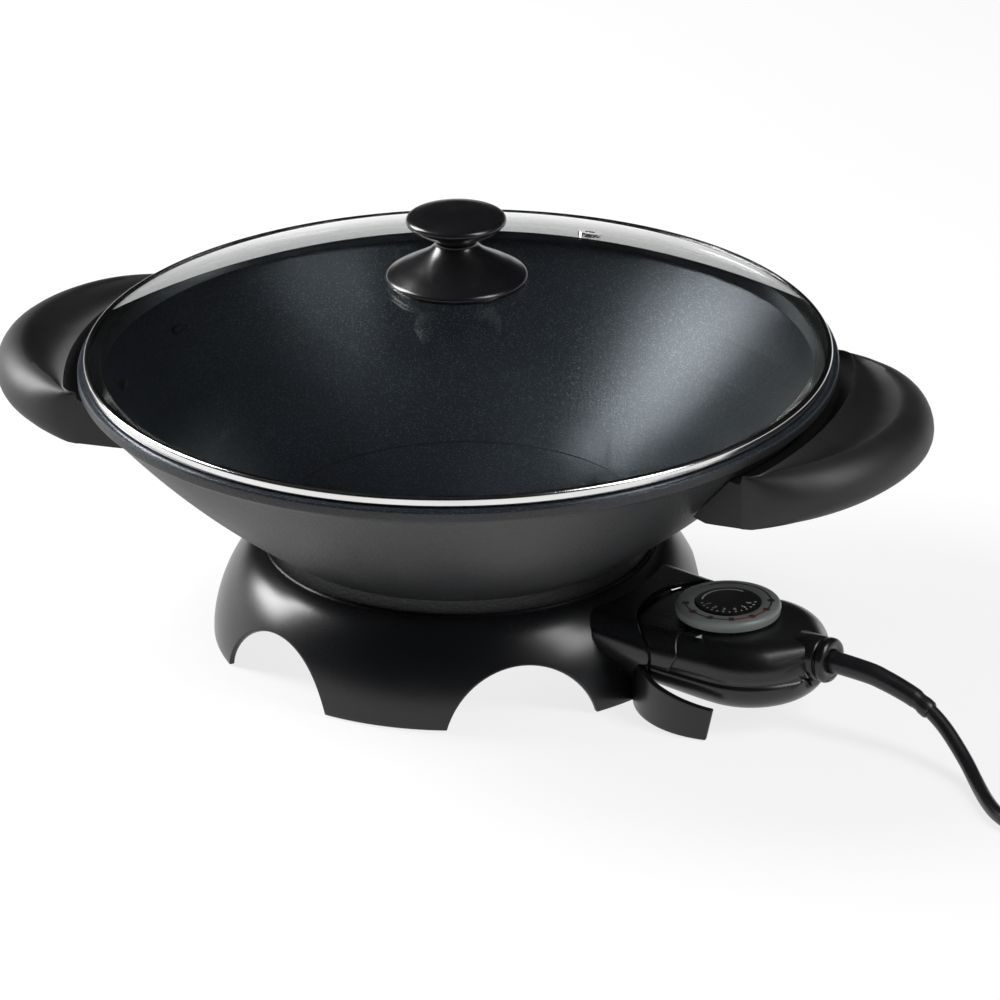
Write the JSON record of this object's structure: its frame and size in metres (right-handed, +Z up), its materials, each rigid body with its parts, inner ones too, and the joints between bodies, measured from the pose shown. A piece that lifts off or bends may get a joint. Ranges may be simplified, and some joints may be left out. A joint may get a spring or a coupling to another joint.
{
  "type": "electric wok",
  "caption": "Electric wok with a cast pan on an arched base, glass lid with knob, two scoop handles and a plug-in thermostat control with its lead.",
  "frame": {"origin": "on the table, below the middle of the pan", "axes": "+Z up; X through the two handles; the control's socket points 16.3 degrees from +X towards -Y"},
  "size_m": [0.6486, 0.366, 0.2164],
  "materials": {
    "cast_pan": "satin non-stick coating on cast aluminium",
    "bare_steel": "satin",
    "rim_steel": "polished",
    "ceramic": "matte ceramic",
    "shield_metal": "satin",
    "handle_black": "satin phenolic",
    "base_black": "gloss",
    "control_black": "gloss",
    "lid_glass": "clear",
    "knob_black": "satin",
    "silicone": "matte",
    "pad_rubber": "matte",
    "contact_brass": "satin",
    "phenolic_brown": "matte",
    "dial_grey": "satin, printed track",
    "dial_black": "printed numbers",
    "lead_black": "satin",
    "plug_black": "moulded"
  },
  "bodies": {
    "wok": {"wok_pan": "cast_pan", "heating_element": "bare_steel", "terminal_pins": "bare_steel", "terminal_insulators": "ceramic", "terminal_guard": "bare_steel", "handle_left": "handle_black", "handle_right": "handle_black", "handle_screws": "bare_steel", "base_skirt": "base_black", "heat_shield": "shield_metal", "base_screws": "bare_steel", "rubber_feet": "pad_rubber"},
    "lid": {"lid_glass": "lid_glass", "lid_rim": "rim_steel", "vent_eyelet": "rim_steel", "knob_foot": "knob_black", "knob_grip": "knob_black", "knob_screw": "bare_steel", "knob_washer": "bare_steel", "knob_seal": "silicone"},
    "control": {"control_top": "control_black", "control_bottom": "control_black", "contact_block": "phenolic_brown", "contact_sleeves": "contact_brass", "earth_contact": "contact_brass", "probe_rod": "bare_steel", "thermostat_switch": "contact_brass", "control_screws": "bare_steel", "strain_relief": "lead_black", "power_cord": "lead_black", "cord_coil": "lead_black", "cord_tie": "lead_black", "plug_body": "plug_black", "plug_pins": "bare_steel", "plug_earth_clips": "bare_steel"},
    "dial": {"dial_ring": "dial_grey", "dial_cap": "dial_black", "dial_spindle": "bare_steel"}
  },
  "joints": [
    {"name": "lid_lift", "type": "slide", "parent": "wok", "child": "lid", "axis": [0, 0, 1], "range_m": [0, 0.12]},
    {"name": "control_pull", "type": "slide", "parent": "wok", "child": "control", "axis": [0.9598, -0.2807, 0], "range_m": [0, 0.09]},
    {"name": "dial_turn", "type": "hinge", "parent": "control", "child": "dial", "pos_m": [0.14925, -0.04364, 0.046], "axis": [0, 0, -1], "range_deg": [0, 270]}
  ]
}
